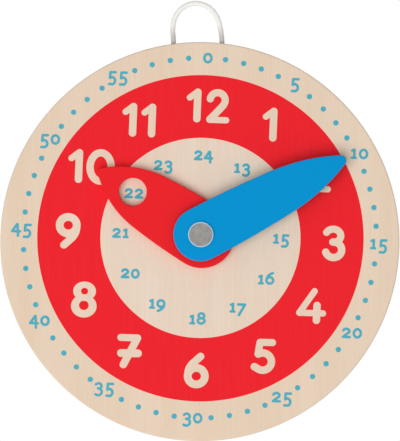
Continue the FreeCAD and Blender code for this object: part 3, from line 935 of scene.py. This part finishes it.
def lacquer(name, colour, front, back):
    """Coloured lacquer on plywood: an even satin coat in which the grain still stands faintly."""
    material = birch_plywood(name, front, back, HAND_PLIES, colour, LACQUER_COVER)
    tree = material.node_tree
    set_inputs(tree, tree.nodes["Principled BSDF"], {"Roughness": 0.45, "Specular IOR Level": 0.06})
    return material


def add_hand(name, node, reading, sizes, offset, colour, body, window=False):
    """A hand in place on the pivot, at its reading on the dial: its outline less its round holes."""
    low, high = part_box(node)
    outline, normals = hand_outline(**{size: value * MM for size, value in sizes.items()})
    outline += np.array(offset) * MM
    pivot = np.array([PIVOT_X, PIVOT_Z])
    edge = eased_edge(low.y, high.y, HAND_EASING)
    walls = [
        (pivot + turned_about_pivot(outline, reading), turned_about_pivot(normals, reading), edge),
        (
            *circle_outline(PIVOT_X, PIVOT_Z, HAND_BORE_RADIUS, HAND_BORE_SIDES, hole=True),
            np.array([(0, low.y), (0, high.y)]),
        ),
    ]
    holes = [outside_hole(PIVOT_X, PIVOT_Z, HAND_BORE_RADIUS)]
    if window:
        sight = pivot + turned_about_pivot(np.array([[0, WINDOW_DISTANCE]]), reading)[0]
        walls.append((*circle_outline(*sight, WINDOW_RADIUS, WINDOW_SIDES, hole=True), edge))
        holes.append(outside_hole(*sight, WINDOW_RADIUS))

    def on_hand(middles):
        return np.all([outside(middles) for outside in holes], axis=0)

    points, faces = cut_from_sheet(walls, on_hand, on_hand)
    material = lacquer(name + "_lacquer", colour, low.y, high.y)
    hand = add_piece(name, points, faces, material, body)
    closed_poles(hand)
    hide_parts(node)


add_hand(
    "red_hour_hand",
    "hour_hand",
    HOUR_READING,
    HOUR_HAND,
    HOUR_OFFSET,
    RED_LACQUER,
    "hour",
    window=True,
)
add_hand(
    "blue_minute_hand",
    "minute_hand",
    MINUTE_READING,
    MINUTE_HAND,
    MINUTE_OFFSET,
    BLUE_LACQUER,
    "minute",
)

# ---- Pivot -------------------------------------------------------------------------------------
# A turned steel post with a plain bevelled head carries both hands. A slotted screw from behind
# draws it up against a disc spring and a flat washer in the recess, and fibre washers keep the
# hands off the board and off each other.

HEAD_RADIUS = (pivot_high.x - pivot_low.x) / 2
HEAD_FACE = pivot_low.y
HEAD_THICKNESS = 1.8 * MM
HEAD_BACK = HEAD_FACE + HEAD_THICKNESS
HEAD_BEVEL = 0.5 * MM
HEAD_CORNER = 0.12 * MM  # reach of the small radius that the polisher leaves on each edge
CORNER_DROP = 0.3 * HEAD_CORNER  # what it takes off at the bevel's two edges
BARREL_RADIUS = 3.0 * MM
BARREL_END = pivot_high.y
BORE_RADIUS = 2.05 * MM
BORE_SPARE = 1.0 * MM  # blind bore beyond the screw's tip
BORE_FLOOR = screw_low.y - BORE_SPARE
POST_SIDES = 96
STEEL = "#908F8C"
STEEL_HAZE = "#A19F9A"
# Painted highlight: the colour of the bright ring on the head's bevel.
RIM_HIGHLIGHT = "#C8E4F8"
PLATED_ROUGHNESS = 0.34
SPRING_ROUGHNESS = 0.4
LATHE_RINGS = 0.691 * MM  # spacing, much coarser than the cut of a tool, so that it shows
RING_RELIEF = 0.02 * MM
HAZE_SIZE = 3 * MM
FIBRE_LIGHT = "#6B4A38"
FIBRE_DARK = "#4E3325"
MOTTLE_SIZE = 1.5 * MM


def turned_steel(name, roughness, highlight_rim=None):
    """Turned mild steel, nickel plated: a dull, slightly cloudy satin with fine rings from the lathe.

    If a rim's inner radius and depth are given, its bevel gets a painted highlight: a bright bluish colour
    in place of the steel's.
    """
    material, tree, shader, place = start_material(name)
    centred = add_node(
        tree, "ShaderNodeMapping", {"Vector": place, "Location": (-PIVOT_X, 0, -PIVOT_Z), "Scale": (1, 0, 1)}
    ).outputs[0]
    # A wave of scale 1 repeats after pi / 10.
    rings = add_node(
        tree,
        "ShaderNodeTexWave",
        {"Vector": centred, "Scale": math.pi / 10 / LATHE_RINGS, "Distortion": 0.4, "Detail": 2},
        wave_type="RINGS",
        rings_direction="Y",
    )
    cloud = add_node(
        tree, "ShaderNodeTexNoise", {"Vector": place, "Scale": 1 / HAZE_SIZE, "Detail": 3}
    ).outputs["Fac"]
    tone = add_node(
        tree,
        "ShaderNodeMapRange",
        {"Value": cloud, "To Min": roughness - 0.05, "To Max": roughness + 0.08},
    ).outputs["Result"]
    haze = add_node(
        tree, "ShaderNodeMapRange", {"Value": cloud, "From Min": 0.35, "From Max": 0.65}
    ).outputs["Result"]
    colour = add_node(
        tree, "ShaderNodeMix", {"Factor": haze, 6: linear(STEEL), 7: linear(STEEL_HAZE)}, data_type="RGBA"
    ).outputs[2]
    # Painted highlight on the bevel only; the side wall behind it stays plain steel.
    if highlight_rim:
        radius, back = highlight_rim
        depth = add_node(tree, "ShaderNodeSeparateXYZ", {"Vector": place}).outputs["Y"]
        away = add_node(tree, "ShaderNodeVectorMath", {0: centred}, operation="LENGTH").outputs["Value"]
        outside = add_node(tree, "ShaderNodeMath", {0: away, 1: radius}, operation="GREATER_THAN").outputs[0]
        ahead = add_node(tree, "ShaderNodeMath", {0: depth, 1: back}, operation="LESS_THAN").outputs[0]
        highlight_mask = add_node(tree, "ShaderNodeMath", {0: outside, 1: ahead}, operation="MULTIPLY").outputs[0]
        colour = add_node(
            tree, "ShaderNodeMix", {"Factor": highlight_mask, 6: colour, 7: linear(RIM_HIGHLIGHT)}, data_type="RGBA"
        ).outputs[2]
    bump = add_node(
        tree, "ShaderNodeBump", {"Height": rings.outputs["Fac"], "Strength": 0.12, "Distance": RING_RELIEF}
    )
    inputs = {
        "Base Color": colour,
        "Roughness": tone,
        "Normal": bump.outputs["Normal"],
        "Metallic": 1.0,
    }
    set_inputs(tree, shader, inputs)
    return material


def vulcanised_fibre():
    """Vulcanised fibre, punched from sheet: hard, red brown and dull, with faint mottling."""
    material, tree, shader, place = start_material("vulcanised_fibre")
    mottle = add_node(tree, "ShaderNodeTexNoise", {"Vector": place, "Scale": 1 / MOTTLE_SIZE, "Detail": 4})
    shade = add_node(tree, "ShaderNodeValToRGB", {"Fac": mottle.outputs["Fac"]})
    shade.color_ramp.elements[0].color = linear(FIBRE_DARK)
    shade.color_ramp.elements[1].color = linear(FIBRE_LIGHT)
    set_inputs(tree, shader, {"Base Color": shade.outputs["Color"], "Roughness": 0.7})
    return material


def turned_surface(profile, around):
    """P(i, a) = pivot + (r_i sin a, y_i, r_i cos a), for a profile of radii and depths."""
    radius, depth = np.asarray(profile, float).T
    a = np.linspace(0, 2 * np.pi, around, endpoint=False)
    x = PIVOT_X + radius[:, None] * np.sin(a)
    z = PIVOT_Z + radius[:, None] * np.cos(a)
    y = np.broadcast_to(depth[:, None], x.shape)
    return np.stack([x, y, z], -1).reshape(-1, 3), grid_faces(len(radius), around)


post_profile = [
    (0, HEAD_FACE),
    (HEAD_RADIUS - HEAD_BEVEL - HEAD_CORNER, HEAD_FACE),
    (HEAD_RADIUS - HEAD_BEVEL, HEAD_FACE + CORNER_DROP),
    (HEAD_RADIUS - CORNER_DROP, HEAD_FACE + HEAD_BEVEL),
    (HEAD_RADIUS, HEAD_FACE + HEAD_BEVEL + HEAD_CORNER),
    (HEAD_RADIUS, HEAD_BACK - HEAD_CORNER),
    (HEAD_RADIUS - HEAD_CORNER, HEAD_BACK),
    (BARREL_RADIUS, HEAD_BACK),
    (BARREL_RADIUS, BARREL_END),
    (BORE_RADIUS, BARREL_END),
    (BORE_RADIUS, BORE_FLOOR),
    (0, BORE_FLOOR),
]
steel = turned_steel("nickel_plated_steel", PLATED_ROUGHNESS)
# Where the painted highlight lies: outside the bevel's inner radius and ahead of its back edge.
painted_highlight_rim = (HEAD_RADIUS - HEAD_BEVEL, HEAD_FACE + HEAD_BEVEL + HEAD_CORNER / 2)
highlighted_steel = turned_steel("nickel_plated_steel_with_painted_highlight", PLATED_ROUGHNESS, painted_highlight_rim)
post_points, post_faces = turned_surface(post_profile, POST_SIDES)
post = add_piece("turned_post", post_points, post_faces, highlighted_steel, "board", soft_angle=20)
closed_poles(post)
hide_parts("pivot_post")

fibre = vulcanised_fibre()
spring_steel = turned_steel("spring_steel", SPRING_ROUGHNESS)
for node, material in {
    "pivot_screw": steel,
    "rear_washer": steel,
    "disc_spring": spring_steel,
    "dial_washer": fibre,
    "hand_washer": fibre,
}.items():
    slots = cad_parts[node].data.materials
    slots.clear()
    slots.append(material)

# ---- Studio ------------------------------------------------------------------------------------
# The clock hangs clear above a pale floor. A broad soft lamp stands before the dial, to its left
# and below it, an even white sky fills the shadows, and a second lamp lights the back.

FLOOR_Z = -3.7
FLOOR_REACH = 20.0
SKY = 0.40  # its strength where it lights the clock
KEY_POWER = 80.4
KEY_SIZE = 2.94
KEY_PLACE = Vector((-0.9, -2.94, -0.84))
BACK_POWER = 36.0
BACK_SIZE = 1.8
BACK_PLACE = Vector((0.85, 1.8, 0.9))
AIM = Vector((0, 0, BOARD_Z))
PAPER = "#F7F6F4"
PAPER_TOOTH = 10 / 3 * MM  # coarser than real paper's, so that it shows
TOOTH_RELIEF = 0.1 * MM


def add_lamp(name, place, power, size):
    """A square lamp that faces the board's middle and isn't seen itself, not even in metal."""
    lamp = bpy.data.objects.new(name, bpy.data.lights.new(name, "AREA"))
    lamp.data.energy = power
    lamp.data.size = size
    lamp.location = place
    lamp.visible_camera = False
    lamp.visible_glossy = False
    lamp.rotation_euler = (AIM - place).to_track_quat("-Z", "Y").to_euler()
    bpy.context.scene.collection.objects.link(lamp)


def matt_floor():
    """Seamless studio paper: matt and almost white."""
    material, tree, shader, place = start_material("studio_paper")
    tooth = add_node(tree, "ShaderNodeTexNoise", {"Vector": place, "Scale": 1 / PAPER_TOOTH})
    bump = add_node(
        tree, "ShaderNodeBump", {"Height": tooth.outputs["Fac"], "Strength": 0.05, "Distance": TOOTH_RELIEF}
    )
    inputs = {"Base Color": linear(PAPER), "Normal": bump.outputs["Normal"], "Roughness": 0.9}
    set_inputs(tree, shader, inputs)
    return material


floor_mesh = bpy.data.meshes.new("floor")
floor_mesh.from_pydata(
    [(x * FLOOR_REACH, y * FLOOR_REACH, FLOOR_Z) for x, y in ((-1, -1), (1, -1), (1, 1), (-1, 1))],
    [],
    [(0, 1, 2, 3)],
)
floor_mesh.materials.append(matt_floor())
floor = bpy.data.objects.new("floor", floor_mesh)
bpy.context.scene.collection.objects.link(floor)
floor.visible_glossy = False  # bright metal shows the white surroundings all round

add_lamp("key_lamp", AIM + KEY_PLACE, KEY_POWER, KEY_SIZE)
add_lamp("back_lamp", AIM + BACK_PLACE, BACK_POWER, BACK_SIZE)

world = bpy.data.worlds.new("studio")
world.use_nodes = True
bpy.context.scene.world = world
sky = world.node_tree
path = add_node(sky, "ShaderNodeLightPath")
seen = path.outputs["Is Camera Ray"]
for ray in ("Is Glossy Ray", "Is Transmission Ray"):
    seen = add_node(sky, "ShaderNodeMath", {0: seen, 1: path.outputs[ray]}, operation="MAXIMUM").outputs[0]
strength = add_node(
    sky, "ShaderNodeMapRange", {"Value": seen, "To Min": SKY, "To Max": 1.0}
).outputs["Result"]
set_inputs(sky, sky.nodes["Background"], {"Color": (1, 1, 1, 1), "Strength": strength})
bpy.context.scene.view_settings.view_transform = "Standard"
